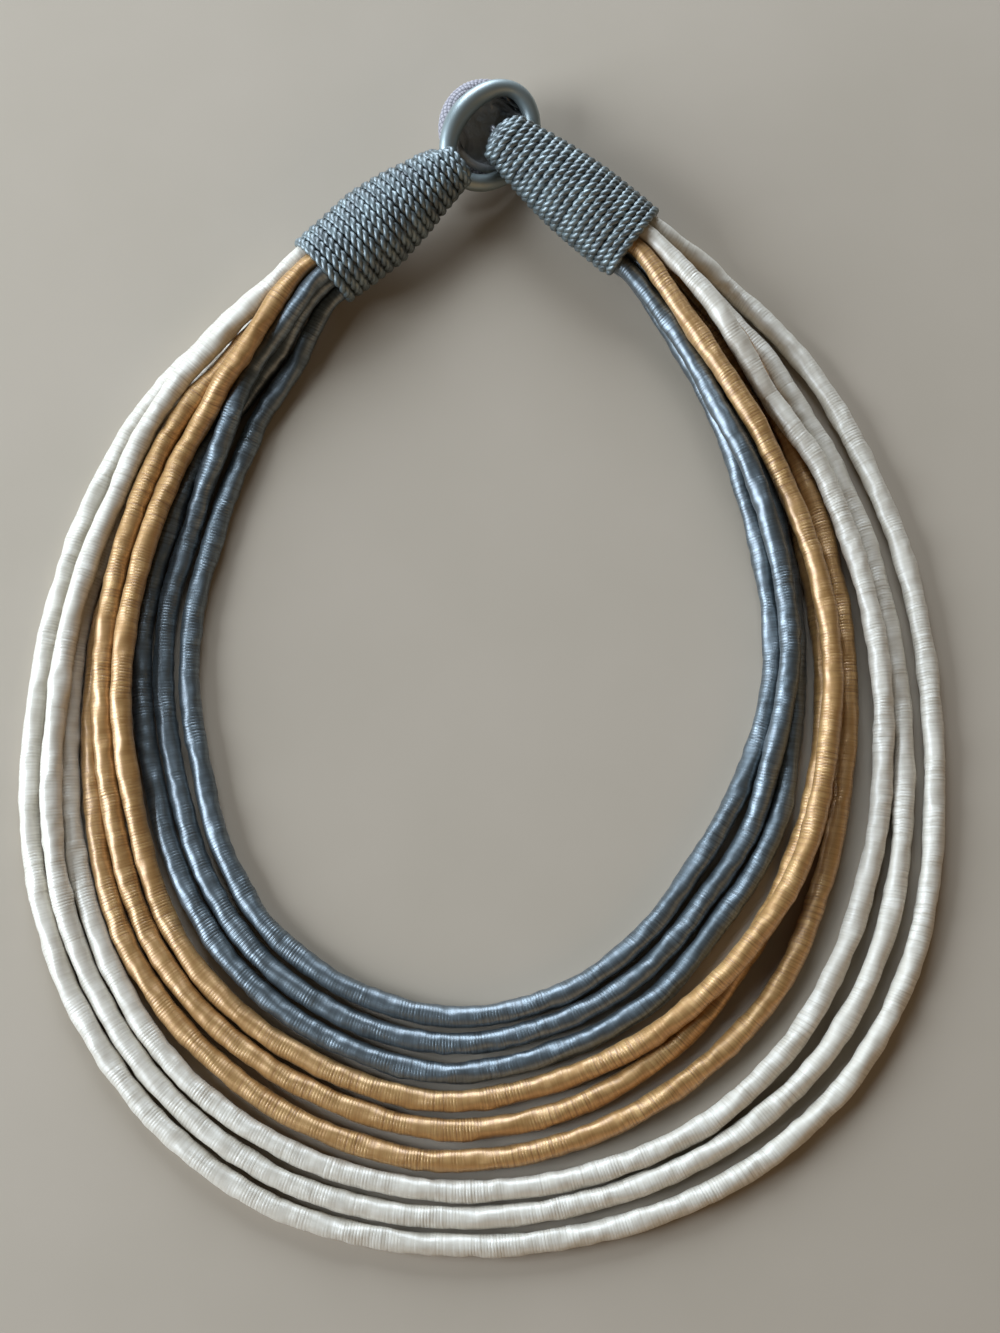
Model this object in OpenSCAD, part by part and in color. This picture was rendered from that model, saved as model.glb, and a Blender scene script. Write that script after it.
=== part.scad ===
// Multi-strand necklace of thread-wound cords, bound at both ends and closed with a button and a loop.
// It lies flat on a surface. Millimetres, +Z up, the clasp at +Y. The origin is on the surface, under
// the middle of the whole necklace.

/* [Strands] */
// Diameter of a strand along its open run
strand_d = 4.2; // [3.8:0.1:4.2]
// Diameter of a strand where it is bound
bound_d = 3.6; // [3.2:0.1:3.65]
// Sides of a strand's section
strand_sides = 10; // [8:1:12]

/* [Bindings] */
// How many turns of twisted cord show on the left binding
turns_left = 18; // [12:1:20]
// How many turns of twisted cord show on the right binding
turns_right = 21; // [12:1:23]
// Depth of the groove between two turns
groove = 0.45; // [0.2:0.05:0.6]
// Thickness of the cord's first turn, round the mouth
mouth_wall = 0.8; // [0.6:0.1:1]
// How far the strands reach into the mouth
pocket = 3; // [2:0.5:5]
// Sides of a binding's section
binding_sides = 16; // [12:2:20]

/* [Loop and button] */
// Thickness of the loop
loop_d = 3.5; // [3.2:0.1:3.7]
// Half length of the loop's centre line, towards the left binding
loop_long = 10.9; // [10.7:0.1:11.1]
// Half width of the loop's centre line
loop_wide = 8.2; // [8:0.1:8.4]
// Lean of the button and the loop, with the side away from the right binding raised
lean = 30; // [28:1:32]
// Diameter of the button
button_d = 21; // [20.6:0.1:21.2]
// Height of the button from its back to the middle of its dome
button_h = 6.2; // [6:0.1:6.4]
// Depth of the hollow in the button's back
hollow_depth = 3.2; // [2.6:0.1:3.4]
// Diameter of the tie that holds the button
tie_d = 2.6; // [2:0.1:3]

/* [Hidden] */
STRANDS = ["blue_inner", "blue_middle", "blue_outer", "bronze_inner", "bronze_middle", "bronze_outer",
    "ivory_inner", "ivory_middle", "ivory_outer"];
BLUE = "#72818e";
BRONZE = "#bb8547";
IVORY = "#dddad2";
GREY = "#7d868b";
DARK = "#35342f";

// Where the strands run, on rays that stand 15 degrees apart round a point near the origin.
// Columns: the ray's angle from +X, each strand's distance from that point, in the order of STRANDS, and
// how many straight lengths lead to the next ray.
RAYS_FROM = [-0.1, 0.2];
RAYS = [
    [130, 67.0, 73.0, 71.4, 74.8, 77.6, 75.8, 80.2, 81.4, 84.6, 3],
    [145, 61.0, 65.8, 69.0, 71.6, 76.0, 73.5, 79.5, 80.2, 84.0, 3],
    [160, 58.0, 62.9, 67.3, 69.6, 73.9, 72.8, 77.2, 78.9, 83.9, 2],
    [175, 58.0, 63.2, 67.6, 69.8, 74.0, 75.6, 80.0, 80.8, 85.6, 2],
    [190, 59.0, 64.1, 68.5, 71.9, 75.8, 78.3, 82.7, 84.6, 89.8, 2],
    [205, 61.0, 66.3, 70.8, 75.4, 79.6, 83.3, 88.6, 91.9, 97.0, 2],
    [220, 65.9, 71.2, 75.7, 81.9, 86.4, 90.9, 95.4, 99.9, 104.4, 3],
    [235, 70.8, 75.8, 80.6, 86.4, 91.0, 96.0, 102.0, 106.6, 111.4, 3],
    [250, 73.4, 78.6, 83.5, 88.9, 93.8, 99.7, 105.6, 110.9, 116.0, 3],
    [265, 74.4, 79.5, 85.0, 90.3, 95.5, 101.3, 106.7, 111.6, 116.5, 3],
    [280, 72.1, 76.8, 81.9, 87.2, 92.9, 98.8, 105.6, 110.3, 116.0, 3],
    [295, 67.6, 72.7, 78.1, 83.8, 87.4, 94.4, 103.2, 108.2, 114.6, 3],
    [310, 62.2, 67.4, 72.2, 79.6, 80.2, 89.0, 97.5, 103.9, 110.6, 2],
    [325, 59.2, 64.6, 69.1, 75.9, 74.8, 81.4, 90.0, 96.4, 103.2, 2],
    [340, 58.2, 61.2, 64.6, 71.4, 70.9, 75.8, 83.7, 88.0, 94.4, 2],
    [355, 58.0, 60.9, 62.6, 69.2, 68.2, 72.8, 79.1, 82.6, 88.9, 2],
    [370, 58.1, 60.8, 62.6, 67.9, 67.3, 71.7, 76.6, 80.1, 86.5, 2],
    [385, 60.3, 62.2, 64.4, 67.9, 68.5, 72.9, 76.1, 79.8, 85.9, 3],
    [400, 65.4, 65.8, 68.9, 69.9, 72.4, 76.8, 76.2, 81.2, 87.8, 3],
    [415, 73.2, 73.0, 77.2, 75.4, 81.0, 82.6, 82.2, 85.4, 90.0, 3]
];

// The order in which the strands were laid down, the lowest first, left and right of the bottom
LAID_LEFT = ["blue_inner", "blue_outer", "ivory_outer", "ivory_inner", "bronze_outer", "bronze_middle",
    "blue_middle", "ivory_middle", "bronze_inner"];
LAID_RIGHT = ["blue_inner", "bronze_middle", "blue_outer", "ivory_middle", "bronze_outer", "ivory_outer",
    "blue_middle", "ivory_inner", "bronze_inner"];
BOTTOM_RAY = 270;

// Where each strand enters a binding, in the order of STRANDS.
// Columns: offset to the outer side and offset up, both in bound strands.
ENTRY_LEFT = [[-1.36, -0.60], [-0.60, 1.20], [-0.70, 0.21], [0.41, 1.16], [0.31, 0.11], [-0.41, -1.00],
    [0.59, -1.00], [1.27, 0.57], [1.47, -0.41]];
ENTRY_RIGHT = [[-1.22, -0.70], [-1.52, 0.30], [-0.53, 0.08], [-0.50, 1.09], [-0.18, -0.91],
    [0.48, 0.08], [0.51, 1.09], [0.95, -0.83], [1.47, 0.32]];

// The axis of each binding, from the middle of its mouth to the middle of its tip
LEFT_MOUTH = [-32.9, 76.2, 7.7];
LEFT_TIP = [-5.7, 98.6, 11.6];
RIGHT_MOUTH = [30.7, 82.4, 7.8];
RIGHT_TIP = [4.2, 103.4, 13.0];

// Outline of each binding. Columns: place along the axis from 0 at the mouth to 1 at the tip, half
// width, half height.
LEFT_OUTLINE = [[0, 8.6, 7.6], [0.2, 9.0, 7.6], [0.4, 9.3, 7.7], [0.6, 8.3, 6.9], [0.8, 6.7, 5.7],
    [1, 5.6, 4.4]];
RIGHT_OUTLINE = [[0, 8.9, 7.6], [0.2, 8.9, 7.7], [0.4, 8.8, 7.6], [0.6, 8.2, 6.5], [0.8, 7.2, 5.0],
    [1, 6.0, 4.1]];

// How far along its axis the lip of a binding's mouth runs, under the first turn
lip = 0.3;
// Where a turn of the cord is at its full thickness, in parts of a turn
FULL_FROM = 0.3;
FULL_TO = 0.75;
// The closed end of the right binding. Columns: how far it stands past the tip, scale of the section
CAP = [[0.7, 0.75], [1.1, 0.4]];
// How many rings close the seated end of the left binding, and how far from the tip it gives way to
// the loop
seat_rings = 7;
seat_run = 6;

// Middle of the button's back, and the middle of the loop measured from it along the lean, across
// the lean and away from the back
BUTTON_AT = [1.4, 107.4];
LOOP_OFFSET = [-0.4, -1.6, 1.85];
// Direction in which the leaning button and loop rise
RISE = 142;

gap = 0.1;
lay_gap = 0.15;
seat_gap = 0.4;
strand_gap = 0.25;
// How many times the strands push one another apart
settle_times = 12;
strand_r = strand_d / 2;
bound_r = bound_d / 2;
loop_r = loop_d / 2;
bound_pitch = bound_d + gap;
lay_pitch = strand_d + lay_gap;

function unit(v) = v / norm(v);
function index_of(list, item) = [for (i = [0:len(list) - 1]) if (list[i] == item) i][0];
function middle_of(points) = [for (k = [0:2]) [for (p = points) p[k]] * [for (p = points) 1] / len(points)];
function flatten(lists) = [for (l = lists) each l];

// A closed skin over rings of equal length. Its ends are fans round the middle of the first and last
// ring, or it is joined end to end.
module skin(rings, joined = false) {
    n = len(rings[0]);
    m = len(rings);
    last = n * m;
    sides = [for (i = [0:joined ? m - 1 : m - 2], j = [0:n - 1])
        let (a = i * n, b = ((i + 1) % m) * n, k = (j + 1) % n)
        each [[a + j, b + k, a + k], [a + j, b + j, b + k]]];
    ends = [for (j = [0:n - 1]) let (k = (j + 1) % n)
        each [[last, j, k], [last + 1, last - n + k, last - n + j]]];
    if (joined) {
        polyhedron(flatten(rings), sides);
    } else {
        polyhedron(concat(flatten(rings), [middle_of(rings[0]), middle_of(rings[m - 1])]),
            concat(sides, ends));
    }
}

// Ring of an elliptical section round a point, square to a direction
function ring(at, along, half_w, half_h, sides, up = [0, 0, 1]) =
    let (left = unit(cross(up, along)), top = cross(along, left))
    [for (j = [0:sides - 1]) let (a = 360 * (j + 0.5) / sides)
        at + half_w * cos(a) * left + half_h * sin(a) * top];

// Smooth curve through control points, with a given direction at each end
function tangent_at(points, i, first, last) =
    i == 0 ? first : i == len(points) - 1 ? last :
    (points[i + 1] - points[i - 1]) / (norm(points[i + 1] - points[i]) + norm(points[i] - points[i - 1]));
function hermite(p, q, u, v, t) = let (l = norm(q - p))
    (2 * t * t * t - 3 * t * t + 1) * p + (t * t * t - 2 * t * t + t) * l * u
    + (3 * t * t - 2 * t * t * t) * q + (t * t * t - t * t) * l * v;
function curve(points, first, last, lengths) = [
    for (i = [0:len(points) - 2], k = [0:lengths[i] - 1])
        hermite(points[i], points[i + 1], tangent_at(points, i, first, last),
            tangent_at(points, i + 1, first, last), k / lengths[i]),
    points[len(points) - 1]];

// Height of each strand on one ray: each rests on the surface, or on the strands laid before it
function lay(row, order, done = []) = len(done) == len(order) ? done :
    let (x = row[1 + index_of(STRANDS, order[len(done)])],
        z = max([strand_r, for (d = done) let (off = abs(x - d[0]))
            off < lay_pitch ? d[1] + sqrt(lay_pitch * lay_pitch - off * off) : 0]))
    lay(row, order, concat(done, [[x, z]]));
function on_ray(row, s) =
    let (order = row[0] < BOTTOM_RAY ? LAID_LEFT : LAID_RIGHT,
        place = lay(row, order)[index_of(order, STRANDS[s])])
    [RAYS_FROM[0] + place[0] * cos(row[0]), RAYS_FROM[1] + place[0] * sin(row[0]), place[1]];

// Where a strand stands in a binding's mouth. side is 1 for the left binding and -1 for the right.
function entry(mouth, tip, slot, side, out) =
    let (along = unit(mouth - tip), left = unit(cross([0, 0, 1], along)), top = cross(along, left))
    mouth + out * along + bound_pitch * (slot[0] * -side * left + slot[1] * top);

function route(s) = concat(
    [entry(LEFT_MOUTH, LEFT_TIP, ENTRY_LEFT[s], 1, gap - pocket)],
    [entry(LEFT_MOUTH, LEFT_TIP, ENTRY_LEFT[s], 1, pocket)],
    [for (row = RAYS) on_ray(row, s)],
    [entry(RIGHT_MOUTH, RIGHT_TIP, ENTRY_RIGHT[s], -1, pocket)],
    [entry(RIGHT_MOUTH, RIGHT_TIP, ENTRY_RIGHT[s], -1, gap - pocket)]);

// Ring k of every strand stands in the same section across the necklace
LENGTHS = concat([1, 3], [for (row = RAYS) row[len(row) - 1]], [1]);
OUT_LEFT = unit(LEFT_MOUTH - LEFT_TIP);
IN_RIGHT = unit(RIGHT_TIP - RIGHT_MOUTH);
ROUTES = [for (s = [0:len(STRANDS) - 1]) curve(route(s), OUT_LEFT, IN_RIGHT, LENGTHS)];
LAST = len(ROUTES[0]) - 1;
// A strand is squeezed where it is bound, and swells to its full size over this many lengths
swell = 3;
function radius_at(k) = bound_r + (strand_r - bound_r) * min(1, max(0, min(k, LAST - k) - 1) / swell);
function way_at(line, k) = k == 0 ? OUT_LEFT : k == LAST ? IN_RIGHT : unit(line[k + 1] - line[k - 1]);

// Strands that would run into one another push each other apart, square to their run, and stay above
// the surface
function sum_of(vectors) = [for (v = vectors) 1] * vectors;
function shove(p, q, along, apart) = let (v = p - q, w = v - (v * along) * along, d = norm(w))
    d < apart ? (apart - d) / 2 / d * w : [0, 0, 0];
function pushed(points, ways, apart, low) = [for (a = [0:len(points) - 1])
    let (p = points[a] + sum_of([for (b = [0:len(points) - 1]) if (b != a)
        shove(points[a], points[b], unit(ways[a] + ways[b]), apart)]))
    [p[0], p[1], max(p[2], low)]];
function settle(points, ways, apart, low, times) = times == 0 ? points :
    settle(pushed(points, ways, apart, low), ways, apart, low, times - 1);
SECTIONS = [for (k = [0:LAST])
    let (points = [for (line = ROUTES) [line[k][0], line[k][1], max(line[k][2], radius_at(k))]])
    k < 2 || k > LAST - 2 ? points :
    settle(points, [for (line = ROUTES) way_at(line, k)], 2 * radius_at(k) + strand_gap, radius_at(k),
        settle_times)];

module strand(s) {
    line = [for (points = SECTIONS) points[s]];
    skin([for (k = [0:LAST]) ring(line[k], way_at(line, k), radius_at(k), radius_at(k), strand_sides)]);
}

module blue_strand(s) { color(BLUE) strand(s); }
module bronze_strand(s) { color(BRONZE) strand(s); }
module ivory_strand(s) { color(IVORY) strand(s); }

// Directions and middle of the leaning clasp: up the lean, across it and away from the button's back
LEAN_UP = [cos(RISE) * cos(lean), sin(RISE) * cos(lean), sin(lean)];
LEAN_ACROSS = [sin(RISE), -cos(RISE), 0];
LEAN_AWAY = [-cos(RISE) * sin(lean), -sin(RISE) * sin(lean), cos(lean)];

// The dome is a sphere that runs into a rounded edge
edge_r = 1.9;
edge_in = button_d / 2 - edge_r;
edge_low = -2.3;
dome_mid = (edge_in * edge_in + edge_low * edge_low - (button_h - edge_r) * (button_h - edge_r))
    / (2 * (button_h - edge_r + edge_low));
dome_r = dome_mid + button_h;
back_z = edge_in * sin(lean) - edge_low * cos(lean) + edge_r;
dome_wall = 1.5;
back_r = edge_in + 0.3;
rim_r = 1;
hollow_r = back_r - 2 * rim_r;
// Sides of the dome's sphere, of its rounded edges and of a full turn of the button
sphere_fn = 128;
edge_fn = 32;
turned_fn = 64;

CLASP = [BUTTON_AT[0], BUTTON_AT[1], back_z];
LOOP_MID = CLASP + LOOP_OFFSET[0] * LEAN_UP + LOOP_OFFSET[1] * LEAN_ACROSS + LOOP_OFFSET[2] * LEAN_AWAY;

function loop_point(a) = LOOP_MID + loop_long * cos(a) * LEAN_ACROSS + loop_wide * sin(a) * LEAN_UP;
function loop_along(a) = unit(loop_wide * cos(a) * LEAN_UP - loop_long * sin(a) * LEAN_ACROSS);
loop_rings = 40;
// The part of the loop that the left binding grips
grip = 167;

module closure_loop() {
    color(GREY)
        skin([for (i = [0:loop_rings - 1]) let (a = 360 * i / loop_rings)
            ring(loop_point(a), loop_along(a), loop_r, loop_r, strand_sides, LEAN_AWAY)], joined = true);
}

// How far a point of a binding's end has to draw back along the binding, so that it ends on the loop
function seat_back(point, along) =
    let (bar = loop_along(grip), from = point - loop_point(grip), r = loop_r + seat_gap,
        a = along - (along * bar) * bar, w = from - (from * bar) * bar,
        root = (w * a) * (w * a) - (a * a) * (w * w - r * r))
    root <= 0 ? 0 : max(0, (w * a + sqrt(root)) / (a * a));

// A binding is wound over the strand ends: a pocket at the mouth, one ridge for each turn, and a
// tip. A seated tip is hollowed where it grips the loop.
module binding(mouth, tip, outline, turns, seated) {
    along = unit(tip - mouth);
    length = norm(tip - mouth);
    half_w = [for (row = outline) [row[0] * length, row[1]]];
    half_h = [for (row = outline) [row[0] * length, row[2]]];
    pitch = length / turns;
    // Rows of place along the axis, cut into the outline, and scale of the section
    inside = [[pocket, mouth_wall, 1], [lip, mouth_wall, 1]];
    wound = [for (k = [0:turns - 1]) each [[k * pitch, groove, 1], [(k + FULL_FROM) * pitch, 0, 1],
        [(k + FULL_TO) * pitch, 0, 1]]];
    seat = [for (k = [0:seat_rings - 1]) [length, groove, 1 - k / seat_rings]];
    cap = concat([[length, groove, 1]], [for (row = CAP) [length + row[0], 0, row[1]]]);
    skin([for (row = concat(inside, wound, seated ? seat : cap))
        let (w = (lookup(row[0], half_w) - row[1]) * row[2], h = (lookup(row[0], half_h) - row[1]) * row[2],
            near = max(0, (row[0] - length + seat_run) / seat_run))
        [for (p = ring(mouth + row[0] * along, along, w, h, binding_sides))
            seated ? p - near * seat_back(p + (length - row[0]) * along, along) * along : p]]);
}

module binding_left() { color(GREY) binding(LEFT_MOUTH, LEFT_TIP, LEFT_OUTLINE, turns_left, true); }
module binding_right() { color(GREY) binding(RIGHT_MOUTH, RIGHT_TIP, RIGHT_OUTLINE, turns_right, false); }

module on_clasp() { translate(CLASP) rotate([0, -lean, RISE]) children(); }

// Everything between the axis and a distance from it, from one height to another
module disc_profile(r, low, high) { translate([0, low]) square([r, high - low]); }

module button_dome() {
    // From the middle of the sphere to where it runs into the rounded edge
    slope = [edge_in, edge_low - dome_mid];
    color(GREY) on_clasp() rotate_extrude($fn = turned_fn) difference() {
        union() {
            intersection() {
                translate([0, dome_mid]) circle(dome_r, $fn = sphere_fn);
                polygon([[0, dome_mid], [0, -dome_r], 2 * slope + [0, dome_mid]]);
                disc_profile(dome_r, -dome_r, edge_low);
            }
            translate([edge_in, edge_low]) circle(edge_r, $fn = edge_fn);
        }
        intersection() {
            translate([0, dome_mid]) circle(dome_r - dome_wall, $fn = sphere_fn);
            disc_profile(back_r + gap, -dome_r, dome_r);
        }
    }
}

module button_back() {
    color(DARK) on_clasp() rotate_extrude($fn = turned_fn) difference() {
        union() {
            intersection() {
                translate([0, dome_mid]) circle(dome_r - dome_wall - gap, $fn = sphere_fn);
                disc_profile(back_r, -button_h, -rim_r);
            }
            translate([back_r - rim_r, -rim_r]) circle(rim_r, $fn = edge_fn);
        }
        disc_profile(hollow_r, -hollow_depth, rim_r);
    }
}

// How far below the middle of the hollow the tie is fixed, down the lean
tie_down = 3;
tie_lengths = 8;
tie_sides = 8;

// The tie stands on the floor of the button's hollow and bends into the tip of the right binding
module button_tie() {
    along = unit(RIGHT_MOUTH - RIGHT_TIP);
    foot = CLASP - tie_down * LEAN_UP + (gap - hollow_depth) * LEAN_AWAY;
    head = RIGHT_TIP - (CAP[len(CAP) - 1][0] + gap) * along;
    line = curve([foot, head], LEAN_AWAY, along, [tie_lengths]);
    last = len(line) - 1;
    color(DARK) skin([for (i = [0:last])
        ring(line[i], i == 0 ? LEAN_AWAY : i == last ? along : unit(line[i + 1] - line[i - 1]),
            tie_d / 2, tie_d / 2, tie_sides, LEAN_ACROSS)]);
}

blue_strand(0);  // strand_blue_inner
blue_strand(1);  // strand_blue_middle
blue_strand(2);  // strand_blue_outer
bronze_strand(3);  // strand_bronze_inner
bronze_strand(4);  // strand_bronze_middle
bronze_strand(5);  // strand_bronze_outer
ivory_strand(6);  // strand_ivory_inner
ivory_strand(7);  // strand_ivory_middle
ivory_strand(8);  // strand_ivory_outer
binding_left();
binding_right();
closure_loop();
button_dome();
button_back();
button_tie();
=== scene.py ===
"""A necklace of nine thread-wound cords, bound at both ends and closed with a button and a loop.

It lies flat on a pale surface, seen almost from above. Lengths in the tables are millimetres.
"""

import math

import bpy
import numpy as np
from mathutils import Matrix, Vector


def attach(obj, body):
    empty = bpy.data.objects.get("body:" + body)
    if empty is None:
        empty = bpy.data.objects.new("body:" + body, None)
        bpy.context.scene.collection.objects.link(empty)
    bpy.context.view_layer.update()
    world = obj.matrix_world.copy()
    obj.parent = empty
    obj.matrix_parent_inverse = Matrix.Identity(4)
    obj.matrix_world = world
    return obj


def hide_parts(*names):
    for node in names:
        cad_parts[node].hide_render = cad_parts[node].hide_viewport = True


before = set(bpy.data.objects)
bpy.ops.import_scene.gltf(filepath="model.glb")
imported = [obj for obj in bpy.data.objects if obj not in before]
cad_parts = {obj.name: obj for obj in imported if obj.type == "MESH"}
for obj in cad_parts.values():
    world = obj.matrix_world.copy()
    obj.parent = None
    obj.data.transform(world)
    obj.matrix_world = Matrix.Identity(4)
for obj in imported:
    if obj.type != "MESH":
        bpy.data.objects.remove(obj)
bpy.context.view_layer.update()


# Camera
# It looks down at the necklace from just in front of it, as the photograph does, with the whole loop
# filling the tall frame. The necklace lies 400 mm away.
MM = 0.001
AIM = Vector((3.4, -4.8, 0)) * MM
CAMERA_FAR = 400 * MM
CAMERA_ELEVATION = math.radians(78)
FRAME_HIGH = 266.6 * MM
SENSOR_HIGH = 36
sight = Vector((0, math.cos(CAMERA_ELEVATION), -math.sin(CAMERA_ELEVATION)))
camera = bpy.data.objects.new("camera", bpy.data.cameras.new("camera"))
camera.data.sensor_fit = "VERTICAL"
camera.data.sensor_height = SENSOR_HIGH
camera.data.lens = SENSOR_HIGH * CAMERA_FAR / FRAME_HIGH
camera.data.clip_start = 0.01
camera.location = AIM - sight * CAMERA_FAR
camera.rotation_euler = sight.to_track_quat("-Z", "Y").to_euler()
bpy.context.scene.collection.objects.link(camera)
bpy.context.scene.camera = camera


# Floor
# A plain pale sheet of matt painted board, wide enough to fill every view. Its faint mottle keeps it
# from looking like a flat colour.
def linear(code):
    """Linear colour of an sRGB hex value."""
    parts = [int(code[k:k + 2], 16) / 255 for k in (1, 3, 5)]
    return (*[p / 12.92 if p <= 0.04045 else ((p + 0.055) / 1.055) ** 2.4 for p in parts], 1)


def add_node(tree, kind, links, **settings):
    """Adds a shader node, sets it, and links or sets its inputs."""
    made = tree.nodes.new("ShaderNode" + kind)
    for name, value in settings.items():
        setattr(made, name, value)
    for socket, value in links.items():
        if isinstance(value, bpy.types.NodeSocket):
            tree.links.new(value, made.inputs[socket])
        else:
            made.inputs[socket].default_value = value
    return made


def new_material(name, **constants):
    """A material, its node tree and its shader, with constants set on the shader's own sockets."""
    material = bpy.data.materials.new(name)
    material.use_nodes = True
    tree = material.node_tree
    shader = tree.nodes["Principled BSDF"]
    for socket, value in constants.items():
        shader.inputs[socket.replace("_", " ")].default_value = value
    return material, tree, shader


# A colour mix has its share and its two colours at these sockets
SHARE, FIRST, SECOND = 0, 6, 7
painted_board, tree, shader = new_material("painted_board", Roughness=0.8)
place = add_node(tree, "TexCoord", {})
# Mottle of about 33 mm. A pattern's scale is how many humps a millimetre holds, over MM.
mottle = add_node(tree, "TexNoise", {"Vector": place.outputs["Object"], "Scale": 0.03 / MM, "Detail": 3})
tint = add_node(tree, "Mix", {SHARE: mottle.outputs[0], FIRST: linear("#9c907d"),
                              SECOND: linear("#a49785")}, data_type="RGBA")
tree.links.new(tint.outputs[2], shader.inputs["Base Color"])

FLOOR_HALF = 3.0
floor_mesh = bpy.data.meshes.new("floor")
floor_mesh.from_pydata([(-FLOOR_HALF, -FLOOR_HALF, 0), (FLOOR_HALF, -FLOOR_HALF, 0),
                        (FLOOR_HALF, FLOOR_HALF, 0), (-FLOOR_HALF, FLOOR_HALF, 0)], [], [(0, 1, 2, 3)])
floor = bpy.data.objects.new("floor", floor_mesh)
floor_mesh.materials.append(painted_board)
bpy.context.scene.collection.objects.link(floor)


# Light
# Cool daylight from two low windows, one at the left and one behind the closure, and a weaker warm glow
# from the room at the lower right. Little light comes from above, so the gaps between cords are dark.
def window(name, at, size, watts, colour):
    """A soft rectangular light that faces the middle of the necklace."""
    lamp = bpy.data.lights.new(name, "AREA")
    lamp.shape = "RECTANGLE"
    lamp.size, lamp.size_y = size
    lamp.energy = watts
    lamp.color = linear(colour)[:3]
    held = bpy.data.objects.new(name, lamp)
    held.location = at
    held.rotation_euler = (-Vector(at)).to_track_quat("-Z", "Y").to_euler()
    bpy.context.scene.collection.objects.link(held)


window("left_window", (-1.0, -0.08, 0.44), (0.6, 0.85), 27, "#d9e8fb")
window("far_window", (-0.12, 0.98, 0.42), (0.6, 0.85), 20, "#d9e8fb")
window("room_glow", (0.6, -0.9, 0.4), (1.6, 0.8), 3.5, "#ffdcb6")
world = bpy.data.worlds.new("room")
world.use_nodes = True
room_air = world.node_tree.nodes["Background"]
room_air.inputs["Color"].default_value = linear("#f2e2c8")
room_air.inputs["Strength"].default_value = 0.07
bpy.context.scene.world = world
bpy.context.scene.view_settings.view_transform = "Standard"


# Strands
# Nine round cords of soft core, each wound closely by hand with satin rayon thread: three slate blue,
# three bronze and three ivory. They run from one binding to the other and lie on one another.
STRAND_R = 2.1
BOUND_R = 1.8
# Where a strand is squeezed by the bindings it has its bound size, and it swells over three lengths
SWELL = 3
STRANDS = ["blue_inner", "blue_middle", "blue_outer", "bronze_inner", "bronze_middle", "bronze_outer",
           "ivory_inner", "ivory_middle", "ivory_outer"]
# Where the strands run, from points read in the photograph and then changed where strands touch or hide
# one another. Columns: a ray's angle, each strand's distance along it from RAYS_FROM, and how many
# lengths lead to the next ray.
RAYS_FROM = (-0.1, 0.2)
RAYS = [
    (130, 67.0, 73.0, 71.4, 74.8, 77.6, 75.8, 80.2, 81.4, 84.6, 3),
    (145, 61.0, 65.8, 69.0, 71.6, 76.0, 73.5, 79.5, 80.2, 84.0, 3),
    (160, 58.0, 62.9, 67.3, 69.6, 73.9, 72.8, 77.2, 78.9, 83.9, 2),
    (175, 58.0, 63.2, 67.6, 69.8, 74.0, 75.6, 80.0, 80.8, 85.6, 2),
    (190, 59.0, 64.1, 68.5, 71.9, 75.8, 78.3, 82.7, 84.6, 89.8, 2),
    (205, 61.0, 66.3, 70.8, 75.4, 79.6, 83.3, 88.6, 91.9, 97.0, 2),
    (220, 65.9, 71.2, 75.7, 81.9, 86.4, 90.9, 95.4, 99.9, 104.4, 3),
    (235, 70.8, 75.8, 80.6, 86.4, 91.0, 96.0, 102.0, 106.6, 111.4, 3),
    (250, 73.4, 78.6, 83.5, 88.9, 93.8, 99.7, 105.6, 110.9, 116.0, 3),
    (265, 74.4, 79.5, 85.0, 90.3, 95.5, 101.3, 106.7, 111.6, 116.5, 3),
    (280, 72.1, 76.8, 81.9, 87.2, 92.9, 98.8, 105.6, 110.3, 116.0, 3),
    (295, 67.6, 72.7, 78.1, 83.8, 87.4, 94.4, 103.2, 108.2, 114.6, 3),
    (310, 62.2, 67.4, 72.2, 79.6, 80.2, 89.0, 97.5, 103.9, 110.6, 2),
    (325, 59.2, 64.6, 69.1, 75.9, 74.8, 81.4, 90.0, 96.4, 103.2, 2),
    (340, 58.2, 61.2, 64.6, 71.4, 70.9, 75.8, 83.7, 88.0, 94.4, 2),
    (355, 58.0, 60.9, 62.6, 69.2, 68.2, 72.8, 79.1, 82.6, 88.9, 2),
    (370, 58.1, 60.8, 62.6, 67.9, 67.3, 71.7, 76.6, 80.1, 86.5, 2),
    (385, 60.3, 62.2, 64.4, 67.9, 68.5, 72.9, 76.1, 79.8, 85.9, 3),
    (400, 65.4, 65.8, 68.9, 69.9, 72.4, 76.8, 76.2, 81.2, 87.8, 3),
    (415, 73.2, 73.0, 77.2, 75.4, 81.0, 82.6, 82.2, 85.4, 90.0, 3),
]
# The order in which the strands were laid down, the lowest first, left and right of the bottom
LAID_LEFT = [0, 2, 8, 6, 5, 4, 1, 7, 3]
LAID_RIGHT = [0, 4, 2, 7, 5, 8, 1, 6, 3]
BOTTOM_RAY = 270
# Where each strand enters a binding. Columns: offset to the outer side and offset up, in bound strands
ENTRY_LEFT = [(-1.36, -0.60), (-0.60, 1.20), (-0.70, 0.21), (0.41, 1.16), (0.31, 0.11), (-0.41, -1.00),
              (0.59, -1.00), (1.27, 0.57), (1.47, -0.41)]
ENTRY_RIGHT = [(-1.22, -0.70), (-1.52, 0.30), (-0.53, 0.08), (-0.50, 1.09), (-0.18, -0.91),
               (0.48, 0.08), (0.51, 1.09), (0.95, -0.83), (1.47, 0.32)]
# The axis of each binding, from the middle of its mouth to the middle of its tip
LEFT_MOUTH = np.array((-32.9, 76.2, 7.7))
LEFT_TIP = np.array((-5.7, 98.6, 11.6))
RIGHT_MOUTH = np.array((30.7, 82.4, 7.8))
RIGHT_TIP = np.array((4.2, 103.4, 13.0))
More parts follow.
